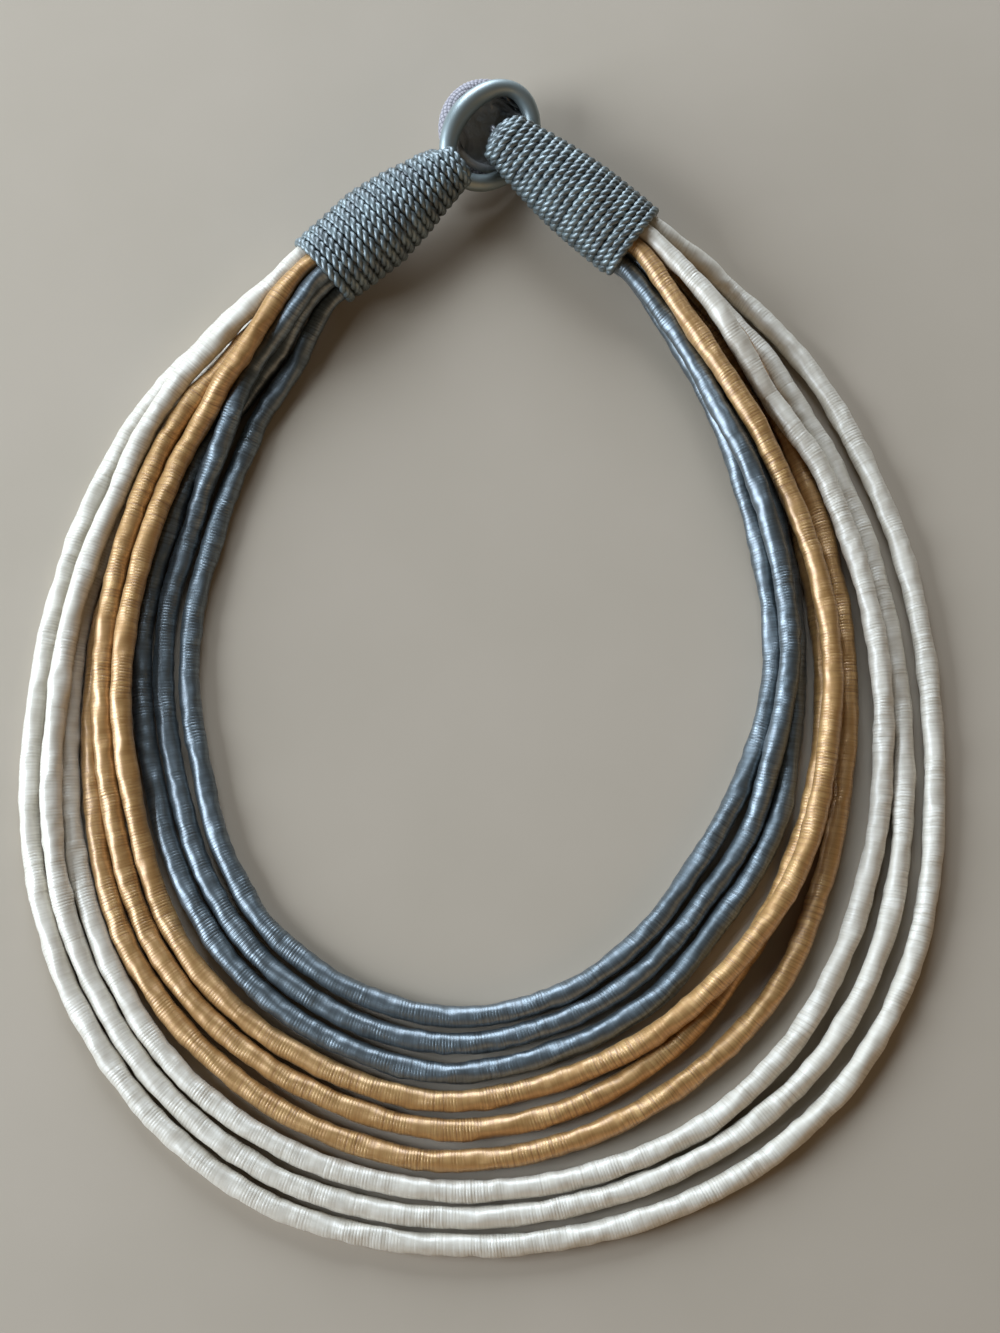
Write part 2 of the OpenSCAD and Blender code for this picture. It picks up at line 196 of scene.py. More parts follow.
# How far the strands reach into a binding, and the least gap between pieces that meet
POCKET = 3
GAP = 0.1
LAY_PITCH = 2 * STRAND_R + 0.15
BOUND_PITCH = 2 * BOUND_R + GAP
STRAND_GAP = 0.25
SETTLE_TIMES = 12
UP = np.array((0.0, 0.0, 1.0))


def unit(vectors):
    """Each vector at length 1."""
    return vectors / np.linalg.norm(vectors, axis=-1, keepdims=True)


def lay(row, order):
    """Height of each strand on a ray: on the surface, or on the strands laid before it."""
    done = {}
    for s in order:
        x = row[1 + s]
        done[s] = x, max([STRAND_R] + [z + math.sqrt(LAY_PITCH ** 2 - (x - at) ** 2)
                                       for at, z in done.values() if abs(x - at) < LAY_PITCH])
    return done


def on_ray(row, s):
    """Where a strand crosses a ray."""
    x, z = lay(row, LAID_LEFT if row[0] < BOTTOM_RAY else LAID_RIGHT)[s]
    turn = math.radians(row[0])
    return np.array((RAYS_FROM[0] + x * math.cos(turn), RAYS_FROM[1] + x * math.sin(turn), z))


def entry(mouth, tip, slot, side, out):
    """Where a strand stands in a binding's mouth."""
    along = unit(mouth - tip)
    left = unit(np.cross(UP, along))
    return mouth + out * along + BOUND_PITCH * (slot[1] * np.cross(along, left) - side * slot[0] * left)


def curve(points, first, last, lengths):
    """Smooth curve through points, with a given direction at each end."""
    run = np.linalg.norm(np.diff(points, axis=0), axis=1)
    between = [(points[i + 1] - points[i - 1]) / (run[i] + run[i - 1]) for i in range(1, len(run))]
    ways = [first, *between, last]
    line = []
    for i, parts in enumerate(lengths):
        for t in np.arange(parts) / parts:
            line.append((2 * t ** 3 - 3 * t ** 2 + 1) * points[i] + (3 * t ** 2 - 2 * t ** 3) * points[i + 1]
                        + run[i] * ((t ** 3 - 2 * t ** 2 + t) * ways[i] + (t ** 3 - t ** 2) * ways[i + 1]))
    return np.array([*line, points[-1]])


def push_apart(section, ways, radius):
    """Strands that would run into one another push each other apart, square to their run."""
    apart = 2 * radius + STRAND_GAP
    for _ in range(SETTLE_TIMES):
        moved = section.copy()
        for a in range(len(STRANDS)):
            for b in range(len(STRANDS)):
                if a != b:
                    along = unit(ways[a] + ways[b])
                    away = section[a] - section[b]
                    away = away - (away @ along) * along
                    far = np.linalg.norm(away)
                    if far < apart:
                        moved[a] += (apart - far) / 2 / far * away
        moved[:, 2] = np.maximum(moved[:, 2], radius)
        section = moved
    return section


OUT_LEFT = unit(LEFT_MOUTH - LEFT_TIP)
IN_RIGHT = unit(RIGHT_TIP - RIGHT_MOUTH)
# Lengths from each point to the next: inside the left mouth, out to the first ray, and so on to the right
LENGTHS = [1, 3, *[row[-1] for row in RAYS], 1]
routes = []
for s in range(len(STRANDS)):
    points = [entry(LEFT_MOUTH, LEFT_TIP, ENTRY_LEFT[s], 1, GAP - POCKET),
              entry(LEFT_MOUTH, LEFT_TIP, ENTRY_LEFT[s], 1, POCKET),
              *[on_ray(row, s) for row in RAYS],
              entry(RIGHT_MOUTH, RIGHT_TIP, ENTRY_RIGHT[s], -1, POCKET),
              entry(RIGHT_MOUTH, RIGHT_TIP, ENTRY_RIGHT[s], -1, GAP - POCKET)]
    routes.append(curve(points, OUT_LEFT, IN_RIGHT, LENGTHS))
routes = np.array(routes)
LAST = routes.shape[1] - 1
radii = []
for k in range(LAST + 1):
    swollen = min(1, max(0, min(k, LAST - k) - 1) / SWELL)
    radii.append(BOUND_R + (STRAND_R - BOUND_R) * swollen)
settled = routes.copy()
for k in range(LAST + 1):
    settled[:, k, 2] = np.maximum(routes[:, k, 2], radii[k])
    if 1 < k < LAST - 1:
        settled[:, k] = push_apart(settled[:, k], unit(routes[:, k + 1] - routes[:, k - 1]), radii[k])
# Points on the dense line for each length of a route
LINE_STEPS = 16
# A wander is the sum of this many waves, each between these parts of its wave long
WANDER_WAVES = 6
WANDER_LONG = (0.6, 1.7)


def steady_line(points, first, last, extra):
    """Dense curve through points and the distance along it, with an extra column carried along."""
    dense = curve(points, first, last, [LINE_STEPS] * (len(points) - 1))
    carried = np.interp(np.arange(len(dense)) / LINE_STEPS, np.arange(len(points)), extra)
    run = np.concatenate([[0], np.cumsum(np.linalg.norm(np.diff(dense, axis=0), axis=1))])
    return dense, run, carried


def drift(chance, s, wave, size):
    """A smooth random wander along s, with humps about one wave long."""
    stretch = chance.uniform(*WANDER_LONG, WANDER_WAVES)
    start = chance.uniform(0, 2 * math.pi, WANDER_WAVES)
    waves = sum(np.sin(2 * math.pi * s / (wave * k) + p) for k, p in zip(stretch, start))
    return size / math.sqrt(WANDER_WAVES / 2) * waves


def skin(rows, joined=False, lead=0):
    """Faces and their corners' (row, column) places for a tube of rows.

    A joined tube closes on itself, and the others end in fans. With a lead, each row carries on into
    the row that many places on, as a screw thread does.
    """
    m, n = rows.shape[:2]
    faces, places = [], []
    for j in range(n):
        shift = lead if j == n - 1 else 0
        i = np.arange(m if joined else m - 1 - shift)
        a, b = i % m, (i + 1) % m
        k = (j + 1) % n
        corners = [a * n + j, (a + shift) % m * n + k, (b + shift) % m * n + k, b * n + j]
        faces.append(np.stack(corners, axis=1))
        marks = [(i, j), (i, j + 1), (i + 1, j + 1), (i + 1, j)]
        places.append(np.stack([np.stack([r, np.full(len(i), c)], axis=1) for r, c in marks], axis=1))
    return np.concatenate(faces), np.concatenate(places)


def piece_from(name, parts, materials):
    """A mesh piece from (rows, joined, lead, material number, row value) parts, in millimetres.

    Its UV map has the row's value across and the part of the way round up.
    """
    verts, faces, values, numbers, base = [], [], [], [], 0
    ends, end_numbers = [], []
    for rows, joined, lead, number, row_values in parts:
        m, n = rows.shape[:2]
        points = rows.reshape(-1, 3)
        quads, places = skin(rows, joined, lead)
        verts.append(points)
        faces.append(quads + base)
        row_values = np.asarray(row_values, float)
        row_values = np.append(row_values, 2 * row_values[-1] - row_values[-2])
        values.append(np.stack([row_values[places[..., 0]], places[..., 1] / n], axis=-1))
        numbers.append(np.full(len(quads), number))
        if not joined:
            head = list(range(n)) + [r * n for r in range(lead, 0, -1)]
            tail = [(m - 1) * n + j for j in range(n)] + [(m - 1 - r) * n + n - 1 for r in range(1, lead + 1)]
            verts.append(np.array([points[head].mean(axis=0), points[tail].mean(axis=0)]))
            for rim, mid, turned in ((head, m * n, True), (tail, m * n + 1, False)):
                for a, b in zip(rim, rim[1:] + rim[:1]):
                    corners = (mid, b, a) if turned else (mid, a, b)
                    ends.append([base + corner for corner in corners])
                    end_numbers.append(number)
            base += 2
        base += m * n
    verts = np.concatenate(verts) * MM
    quads = np.concatenate(faces)
    ends = np.array(ends, int).reshape(-1, 3)
    starts = [np.arange(len(quads)) * 4, quads.size + np.arange(len(ends)) * 3]
    mesh = bpy.data.meshes.new(name)
    mesh.vertices.add(len(verts))
    mesh.vertices.foreach_set("co", verts.ravel())
    mesh.loops.add(quads.size + ends.size)
    mesh.loops.foreach_set("vertex_index", np.concatenate([quads.ravel(), ends.ravel()]))
    mesh.polygons.add(len(quads) + len(ends))
    mesh.polygons.foreach_set("loop_start", np.concatenate(starts))
    mesh.polygons.foreach_set("material_index", np.concatenate([*numbers, end_numbers]).astype(int))
    mesh.update(calc_edges=True)
    mesh.validate()
    winding = mesh.uv_layers.new(name="winding")
    flat = np.concatenate([np.concatenate(values).reshape(-1, 2), np.zeros((ends.size, 2))])
    winding.data.foreach_set("uv", flat.ravel())
    mesh.shade_smooth()
    for material in materials:
        mesh.materials.append(material)
    piece = bpy.data.objects.new(name, mesh)
    bpy.context.scene.collection.objects.link(piece)
    return piece


# Satin rayon thread, wound: bright streaks run along the cord, and each turn stands a little apart from the
# next in tone. The grooves between turns are painted darker, as painted shade. One turn is 0.6 mm,
# coarser than the real thread of about 0.4 mm, so that it shows.
THREAD_PITCH = 0.6


def satin_thread(name, main, groove_shade, bright, metallic, shine):
    """Wound thread of one colour. The map runs in turns along the cord and once round it."""
    material, tree, shader = new_material(name, Metallic=metallic, Anisotropic=0.3, Specular_IOR_Level=0.6,
                                          Coat_Weight=shine, Coat_Roughness=0.39, Coat_IOR=1.9,
                                          Sheen_Weight=0.03, Sheen_Roughness=0.5)
    place = add_node(tree, "UVMap", {}, uv_map="winding")
    axes = add_node(tree, "SeparateXYZ", {"Vector": place.outputs[0]})
    # Height across one turn: 0 in the groove, 1 on the thread
    saw = add_node(tree, "Math", {0: axes.outputs[0], 1: 0.5}, operation="PINGPONG")
    thread = add_node(tree, "MapRange", {"Value": saw.outputs[0], "From Min": 0.0, "From Max": 0.25},
                      interpolation_type="SMOOTHSTEP")
    # Tone of each turn, drawn out along the thread
    stretched = add_node(tree, "Mapping", {"Vector": place.outputs[0], "Scale": (0.9, 1.6, 1)})
    turn_tone = add_node(tree, "TexNoise", {"Vector": stretched.outputs[0], "Scale": 1, "Detail": 2,
                                            "Roughness": 0.6})
    # Hairs of about 0.12 mm lie along the thread, coarser than the real ones
    hair_run = add_node(tree, "Mapping", {"Vector": place.outputs[0], "Scale": (5, 6, 1)})
    hairs = add_node(tree, "TexNoise", {"Vector": hair_run.outputs[0], "Scale": 1, "Detail": 3,
                                        "Roughness": 0.7})
    # The turns show in some stretches of about 12 mm and close up smoothly in others
    stretches = add_node(tree, "Mapping", {"Vector": place.outputs[0], "Scale": (0.05, 1.5, 1)})
    open_turns = add_node(tree, "TexNoise", {"Vector": stretches.outputs[0], "Scale": 1, "Detail": 1})
    shown = add_node(tree, "MapRange", {"Value": open_turns.outputs[0], "From Min": 0.42, "From Max": 0.6,
                                        "To Min": 0.08, "To Max": 0.8})
    closed = add_node(tree, "Math", {0: 1.0, 1: shown.outputs[0]}, operation="SUBTRACT")
    thread = add_node(tree, "Math", {0: thread.outputs[0], 1: closed.outputs[0]}, operation="MAXIMUM")
    # Painted shade: the groove colour darkens the grooves between turns where the turns are open
    body = add_node(tree, "Mix", {SHARE: thread.outputs[0], FIRST: linear(groove_shade), SECOND: linear(main)},
                    data_type="RGBA")
    amount = add_node(tree, "MapRange", {"Value": shown.outputs[0], "To Min": 0.35, "To Max": 1.0})
    tone = add_node(tree, "MapRange", {"Value": turn_tone.outputs[0], "From Min": 0.42, "From Max": 0.6,
                                       "To Min": 0.0, "To Max": amount.outputs[0]})
    coloured = add_node(tree, "Mix", {SHARE: tone.outputs[0], FIRST: body.outputs[2],
                                      SECOND: linear(bright)}, data_type="RGBA")
    tree.links.new(coloured.outputs[2], shader.inputs["Base Color"])
    gloss = add_node(tree, "MapRange", {"Value": turn_tone.outputs[0], "From Min": 0.3, "From Max": 0.7,
                                        "To Min": 0.56, "To Max": 0.44})
    tree.links.new(gloss.outputs[0], shader.inputs["Roughness"])
    relief = add_node(tree, "Math", {0: hairs.outputs[0], 1: 0.5, 2: thread.outputs[0]},
                      operation="MULTIPLY_ADD")
    # Single threads stand proud where the turns are open, and break up the highlight
    proud = add_node(tree, "Math", {0: turn_tone.outputs[0], 1: amount.outputs[0]}, operation="MULTIPLY")
    relief = add_node(tree, "Math", {0: proud.outputs[0], 1: 2.2, 2: relief.outputs[0]},
                      operation="MULTIPLY_ADD")
    bump = add_node(tree, "Bump", {"Height": relief.outputs[0], "Strength": 0.5, "Distance": 0.06 * MM})
    tree.links.new(bump.outputs[0], shader.inputs["Normal"])
    tree.links.new(bump.outputs[0], shader.inputs["Coat Normal"])
    tangent = add_node(tree, "Tangent", {}, direction_type="UV_MAP", uv_map="winding")
    tree.links.new(tangent.outputs[0], shader.inputs["Tangent"])
    return material


THREADS = {"blue": satin_thread("slate_blue_satin_thread", "#4e585b", "#2e3639", "#6c787c", 0.8, 0.7),
           "bronze": satin_thread("bronze_satin_thread", "#a47940", "#79552a", "#c39a5d", 0.5, 0.5),
           "ivory": satin_thread("ivory_satin_thread", "#c0b7a5", "#a89f8d", "#d2cbbb", 0.1, 0.25)}
ROWS_A_TURN = 3
THREAD_PROFILE = np.array((-0.024, 0.008, 0.008))
STRAND_SIDES = 15
FIRST_SEED = 40
# The core swells and shrinks slowly: length of a hump and its height
CORE_WAVE, CORE_SWELL = 6, 0.015
# Its section is uneven. Columns: lobes round it, height of its long lumps, height of its short ones
LUMPS = [(1, 0.03, 0.015), (2, 0.06, 0.025), (3, 0.05, 0.022), (4, 0.03, 0.018)]
LONG_LUMP, SHORT_LUMP = 16, 5
# How far single turns stand proud or sunk, and how strongly turns show: everywhere, and in some stretches
TURN_PROUD = 0.01
RIDGED_LEAST, RIDGED_MORE, RIDGED_WAVE, RIDGED_SPREAD = 0.12, 0.9, 9, 0.8
for s, strand in enumerate(STRANDS):
    chance = np.random.RandomState(FIRST_SEED + s)
    line, run, size = steady_line(settled[s], OUT_LEFT, IN_RIGHT, radii)
    rows_n = int(ROWS_A_TURN * (run[-1] / THREAD_PITCH - 1)) + 1
    i, j = np.meshgrid(np.arange(rows_n), np.arange(STRAND_SIDES), indexing="ij")
    turn = i / ROWS_A_TURN + j / STRAND_SIDES
    at = np.clip(turn * THREAD_PITCH, 0, run[-1])
    round_it = 2 * math.pi * j / STRAND_SIDES - math.pi / 2
    centre = np.stack([np.interp(at, run, line[:, k]) for k in range(3)], axis=-1)
    ways = np.gradient(line, run, axis=0)
    along = unit(np.stack([np.interp(at, run, ways[:, k]) for k in range(3)], axis=-1))
    left = unit(np.cross(UP, along))
    top = np.cross(along, left)
    lumps = drift(chance, at, CORE_WAVE, CORE_SWELL)
    for lobes, slow, quick in LUMPS:
        for wave in (np.cos(lobes * round_it), np.sin(lobes * round_it)):
            lumps = lumps + (drift(chance, at, LONG_LUMP, slow) + drift(chance, at, SHORT_LUMP, quick)) * wave
    proud = chance.normal(0, TURN_PROUD, rows_n // ROWS_A_TURN + STRAND_SIDES)[turn.astype(int)]
    ridged = RIDGED_LEAST + RIDGED_MORE * np.maximum(0, drift(chance, at, RIDGED_WAVE, RIDGED_SPREAD))
    r = np.interp(at, run, size) + ridged * (THREAD_PROFILE[i % ROWS_A_TURN] + proud) + lumps
    out = np.cos(round_it)[..., None] * left + np.sin(round_it)[..., None] * top
    skin_rows = centre + r[..., None] * out
    skin_rows[..., 2] = np.maximum(skin_rows[..., 2], 0)
    colour = strand.split("_")[0]
    turns_run = np.arange(rows_n) / ROWS_A_TURN
    piece = piece_from(f"wound_{strand}", [(skin_rows, False, ROWS_A_TURN, 0, turns_run)], [THREADS[colour]])
    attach(piece, "root")
    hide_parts(f"strand_{strand}")


# Bindings
# The nine ends are gathered at each side and wound over with a two-ply cord of grey rayon, laid turn
# beside turn from the mouth to the tip. The last turns close the tip, and the left ones grip the loop.
LOOP_R = 1.75
LOOP_LONG = 10.9
LOOP_WIDE = 8.2
LEAN = math.radians(30)
RISE = math.radians(142)
# Directions of the leaning clasp: up the lean, across it and away from the button's back
LEAN_UP = np.array((math.cos(RISE) * math.cos(LEAN), math.sin(RISE) * math.cos(LEAN), math.sin(LEAN)))
LEAN_ACROSS = np.array((math.sin(RISE), -math.cos(RISE), 0))
LEAN_AWAY = np.array((-math.cos(RISE) * math.sin(LEAN), -math.sin(RISE) * math.sin(LEAN), math.cos(LEAN)))
# The button's rounded edge, which rests on the surface
BUTTON_D = 21
BUTTON_H = 6.2
EDGE_R = 1.9
EDGE_IN = BUTTON_D / 2 - EDGE_R
EDGE_LOW = -2.3
CLASP = np.array((1.4, 107.4, EDGE_IN * math.sin(LEAN) - EDGE_LOW * math.cos(LEAN) + EDGE_R))
LOOP_MID = CLASP - 0.4 * LEAN_UP - 1.6 * LEAN_ACROSS + 1.85 * LEAN_AWAY
# Where on the loop's ring the left binding grips it
GRIP = math.radians(167)
# Columns: place along the axis from 0 at the mouth to 1 at the tip, half width, half height
LEFT_OUTLINE = np.array([(0, 8.6, 7.6), (0.2, 9.0, 7.6), (0.4, 9.3, 7.7), (0.6, 8.3, 6.9), (0.8, 6.7, 5.7),
                         (1, 5.6, 4.4)])
RIGHT_OUTLINE = np.array([(0, 8.9, 7.6), (0.2, 8.9, 7.7), (0.4, 8.8, 7.6), (0.6, 8.2, 6.5), (0.8, 7.2, 5.0),
                          (1, 6.0, 4.1)])


def seat_back(points, along, reach):
    """How far points draw back along a binding so that they stay a reach away from the loop's line."""
    bar = unit(LOOP_WIDE * math.cos(GRIP) * LEAN_UP - LOOP_LONG * math.sin(GRIP) * LEAN_ACROSS)
    held = LOOP_MID + LOOP_LONG * math.cos(GRIP) * LEAN_ACROSS + LOOP_WIDE * math.sin(GRIP) * LEAN_UP
    off = points - held
    a = along - (along @ bar) * bar
    w = off - (off @ bar)[..., None] * bar
    root = (w @ a) ** 2 - (a @ a) * ((w * w).sum(axis=-1) - reach ** 2)
    return np.where(root > 0, np.maximum(0, (w @ a + np.sqrt(np.maximum(root, 0))) / (a @ a)), 0)


# The plies of a cord are pressed towards what it lies on, to this part of their round height
PLY_PRESSED = 0.6


def twisted_cord(path, out, ply_off, ply_r, widen, twist, sides):
    """Rows of the two plies of a cord along a path. out points away from what the cord lies on."""
    run = np.concatenate([[0], np.cumsum(np.linalg.norm(np.diff(path, axis=0), axis=1))])
    along = unit(np.gradient(path, axis=0))
    high = unit(out - (out * along).sum(axis=1)[:, None] * along)
    wide = np.cross(along, high)
    turn = 2 * math.pi * np.arange(sides) / sides
    plies = []
    for k in (0, 1):
        angle = 2 * math.pi * run / twist + math.pi * k
        lift = np.cos(angle)[:, None] * high * PLY_PRESSED
        centre = path + ply_off * (lift + np.sin(angle)[:, None] * wide * widen)
        way = unit(np.gradient(centre, axis=0))
        one = unit(high - (high * way).sum(axis=1)[:, None] * way)
        two = np.cross(way, one)
        ring = np.cos(turn)[None, :, None] * one[:, None] + np.sin(turn)[None, :, None] * two[:, None]
        plies.append((centre[:, None] + ply_r * ring, run))
    return plies


# Twisted rayon cord: each ply shows as a row of slanted satin grains with dark gaps between them, which
# are partly painted shade. It is drawn partly metallic, which gives the fibre's broad bright grains and its
# dark sides.
def twisted_rayon(name, main, gap_shade, bright):
    """Cord of one colour. The map runs in millimetres along each ply and once round it."""
    material, tree, shader = new_material(name, Metallic=0.6, Roughness=0.5, Specular_IOR_Level=0.9,
                                          Coat_Weight=0.7, Coat_Roughness=0.4, Coat_IOR=1.6)
    place = add_node(tree, "UVMap", {}, uv_map="winding")
    # Bundles of fibre about 0.3 mm wide run along each ply, at the slant of its twist. The real hairs are
    # too fine to show.
    slant = add_node(tree, "Mapping", {"Vector": place.outputs[0], "Rotation": (0, 0, 0.5),
                                       "Scale": (0.6, 14, 1)})
    hairs = add_node(tree, "TexNoise", {"Vector": slant.outputs[0], "Scale": 1, "Detail": 3,
                                        "Roughness": 0.7})
    # Paler patches of about 4 mm
    spots = add_node(tree, "TexCoord", {})
    patches = add_node(tree, "TexNoise", {"Vector": spots.outputs["Object"], "Scale": 0.26 / MM,
                                          "Detail": 2})
    tone = add_node(tree, "MapRange", {"Value": hairs.outputs[0], "From Min": 0.35, "From Max": 0.7})
    # Painted shade: the gap colour darkens the places between the fibre bundles
    hair_tint = add_node(tree, "Mix", {SHARE: tone.outputs[0], FIRST: linear(gap_shade), SECOND: linear(main)},
                         data_type="RGBA")
    patch = add_node(tree, "MapRange", {"Value": patches.outputs[0], "From Min": 0.4, "From Max": 0.75,
                                        "To Min": 0.0, "To Max": 0.6})
    tint = add_node(tree, "Mix", {SHARE: patch.outputs[0], FIRST: hair_tint.outputs[2],
                                  SECOND: linear(bright)}, data_type="RGBA")
    tree.links.new(tint.outputs[2], shader.inputs["Base Color"])
    bump = add_node(tree, "Bump", {"Height": hairs.outputs[0], "Strength": 0.5, "Distance": 0.08 * MM})
    tree.links.new(bump.outputs[0], shader.inputs["Normal"])
    tree.links.new(bump.outputs[0], shader.inputs["Coat Normal"])
    return material


GREY_CORD = twisted_rayon("grey_twisted_rayon", "#677271", "#262c2c", "#879594")
# The bed under the turns is the same rayon, packed down, with its colours painted darker as painted shade
SHADED_BED_RAYON = twisted_rayon("grey_rayon_painted_shade", "#3b4145", "#22262a", "#4a5155")
CORD_R = 0.95
# Each ply: how far it stands off the cord's line, its thickness, the length of its twist and its sides
PLY_OFF = 0.38
PLY_R = 0.66
PLY_TWIST = 3.7
PLY_SIDES = 7
# The plies spread sideways until neighbouring turns just press together
PLY_SPREAD = 1.08
WIND_STEP = math.radians(2.2)
# Hand winding: turns wander along the binding and in and out. Columns: hump in turns, size
TURNS_WANDER = (3, 0.06)
TURNS_BULGE = (0.7, 0.03)
# The closing turns run inwards by this share and tilt over the tip, which stands out by the closing rise
CAP_TURNS = 3
CAP_CLOSE = 0.85
CAP_TILT = 1.4
CAP_RISE = 1.6
# Over the last tenth of the closing turns the cord's end is tucked in
TUCK_FROM, TUCK_OVER = 0.9, 0.1
SEAT_RUN = 6
# The bed: its wall at the mouth, the rings of its body and those that close it
BED_SIDES = 24
MOUTH_WALL = 1.3
MOUTH_CUP = [(POCKET, MOUTH_WALL, 1), (0.5, MOUTH_WALL, 1), (0.2, CORD_R, 1)]
BED_RINGS = 12
BED_END_RINGS = 6
BED_SHORT = 0.6


def binding(name, node, mouth, tip, outline, turns, seated, chance):
    """A wound binding: the cord's path round the gathered ends, and the bed that it lies on."""
    along = unit(tip - mouth)
    length = np.linalg.norm(tip - mouth)
    left = unit(np.cross(UP, along))
    top = np.cross(along, left)
    pitch = length / turns
    angle = np.arange(0, (turns + CAP_TURNS) * 2 * math.pi, WIND_STEP)
    wound = angle / (2 * math.pi)
    at = np.minimum(wound * pitch, length) + drift(chance, wound, *TURNS_WANDER)
    cap = np.clip((wound - turns) / CAP_TURNS, 0, 1)
    half_w = np.interp(at / length, outline[:, 0], outline[:, 1]) - CORD_R
    half_h = np.interp(at / length, outline[:, 0], outline[:, 2]) - CORD_R
    scale = 1 - CAP_CLOSE * cap
    bulge = drift(chance, wound, *TURNS_BULGE)
    radial = ((half_w * scale + bulge) * np.cos(angle))[:, None] * left
    radial = radial + ((half_h * scale + bulge) * np.sin(angle))[:, None] * top
    tucked = 2 * CORD_R * np.clip((cap - TUCK_FROM) / TUCK_OVER, 0, 1)
    at = at + (0 if seated else CAP_RISE) * np.sin(cap * math.pi / 2) - tucked
    path = mouth + at[:, None] * along + radial
    if seated:
        near = np.clip((at - length + SEAT_RUN) / SEAT_RUN, 0, 1)
        base = path + (length - at)[:, None] * along
        path = path - (near * seat_back(base, along, LOOP_R + CORD_R))[:, None] * along
    facing = unit(radial) * np.cos(cap * CAP_TILT)[:, None]
    facing = facing + np.sin(cap * CAP_TILT)[:, None] * along
    spread = pitch / (2 * CORD_R) * PLY_SPREAD
    cord = twisted_cord(path, facing, PLY_OFF, PLY_R, spread, PLY_TWIST, PLY_SIDES)
    # The bed: a cup at the mouth for the strands, and a tapered body
    turn = 2 * math.pi * np.arange(BED_SIDES) / BED_SIDES
    body = [(length * k / BED_RINGS, CORD_R, 1) for k in range(1, BED_RINGS)]
    end = [(length - BED_SHORT, CORD_R, 1 - k / BED_END_RINGS) for k in range(BED_END_RINGS)]
    bed = []
    for place, cut, part in MOUTH_CUP + body + end:
        w = (np.interp(place / length, outline[:, 0], outline[:, 1]) - cut) * part
        h = (np.interp(place / length, outline[:, 0], outline[:, 2]) - cut) * part
        ring = mouth + place * along + w * np.cos(turn)[:, None] * left + h * np.sin(turn)[:, None] * top
        if seated:
            near = min(1, max(0, (place - length + SEAT_RUN) / SEAT_RUN))
            drawn = seat_back(ring + (length - place) * along, along, LOOP_R + 2 * CORD_R)
            ring = ring - near * drawn[:, None] * along
        bed.append(ring)
    parts = [(rows, False, 0, 0, run) for rows, run in cord]
    parts.append((np.array(bed), False, 0, 1, np.arange(len(bed))))
    piece = piece_from(name, parts, [GREY_CORD, SHADED_BED_RAYON])
    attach(piece, "root")
    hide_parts(node)


# How many turns show on each binding
TURNS_LEFT, TURNS_RIGHT = 18, 21
binding("cord_wound_left", "binding_left", LEFT_MOUTH, LEFT_TIP, LEFT_OUTLINE, TURNS_LEFT, True,
        np.random.RandomState(61))
binding("cord_wound_right", "binding_right", RIGHT_MOUTH, RIGHT_TIP, RIGHT_OUTLINE, TURNS_RIGHT, False,
        np.random.RandomState(62))


# Loop
# A round cord bent into a ring and held in the tip of the left binding. It is smooth finished leather
# with a pearly coat, which gives broad soft highlights and long clear ones over a fine grain.
finished_leather, tree, shader = new_material("grey_finished_leather", Metallic=0.6, Roughness=0.48,
                                              Specular_IOR_Level=1.0, Coat_Weight=0.4,
                                              Coat_Roughness=0.25)
# Clouds of about 6 mm
spots = add_node(tree, "TexCoord", {})
clouds = add_node(tree, "TexNoise", {"Vector": spots.outputs["Object"], "Scale": 0.16 / MM, "Detail": 4})
tint = add_node(tree, "Mix", {SHARE: clouds.outputs[0], FIRST: linear("#7b8583"),
                              SECOND: linear("#8e9895")}, data_type="RGBA")
tree.links.new(tint.outputs[2], shader.inputs["Base Color"])
# Grain of about 0.4 mm
grain = add_node(tree, "TexVoronoi", {"Vector": spots.outputs["Object"], "Scale": 2.5 / MM},
                 feature="DISTANCE_TO_EDGE")
bump = add_node(tree, "Bump", {"Height": grain.outputs[0], "Strength": 0.15, "Distance": 0.02 * MM})
tree.links.new(bump.outputs[0], shader.inputs["Normal"])
tree.links.new(bump.outputs[0], shader.inputs["Coat Normal"])
LOOP_ROWS = 220
LOOP_SIDES = 24
# The ring isn't a perfect oval: hand bending leaves slow waves in it
BENDS = (2, 3, 4, 5)
BEND_SIZE = 0.07
# The cord's thickness varies a little. Columns: height of a wave, how many go round, where it starts
THICK_WAVES = [(0.04, 3, 1), (0.03, 7, 0)]
# At the raised side the cord is pressed flat and stands this much wider, towards the inside
PRESSED_WIDE = 0.5 * LOOP_R
bend = 2 * math.pi * np.arange(LOOP_ROWS) / LOOP_ROWS
chance = np.random.RandomState(71)
waves = sum(BEND_SIZE * chance.normal() * np.cos(k * bend + chance.uniform(0, 6)) for k in BENDS)
line = LOOP_MID + ((LOOP_LONG + waves) * np.cos(bend))[:, None] * LEAN_ACROSS
line = line + ((LOOP_WIDE + waves) * np.sin(bend))[:, None] * LEAN_UP
way = unit(LOOP_WIDE * np.cos(bend)[:, None] * LEAN_UP - LOOP_LONG * np.sin(bend)[:, None] * LEAN_ACROSS)
side = unit(np.cross(LEAN_AWAY, way))
turn = 2 * math.pi * np.arange(LOOP_SIDES) / LOOP_SIDES
thick = sum((high * np.cos(count * bend + start) for high, count, start in THICK_WAVES), LOOP_R)
pressed = PRESSED_WIDE * np.maximum(0, np.sin(bend)) ** 3
inward = np.where(np.cos(turn)[None, :] * np.sign((side @ LEAN_UP) * np.sin(bend))[:, None] < 0, 1, 0)
section = np.cos(turn)[None, :, None] * side[:, None] + np.sin(turn)[None, :, None] * LEAN_AWAY
loop_rows = line[:, None] + thick[:, None, None] * section
loop_rows += (inward * pressed[:, None] * np.cos(turn)[None, :])[..., None] * side[:, None]
loop = piece_from("leather_loop", [(loop_rows, True, 0, 0, np.arange(LOOP_ROWS))], [finished_leather])
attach(loop, "root")
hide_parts("closure_loop")


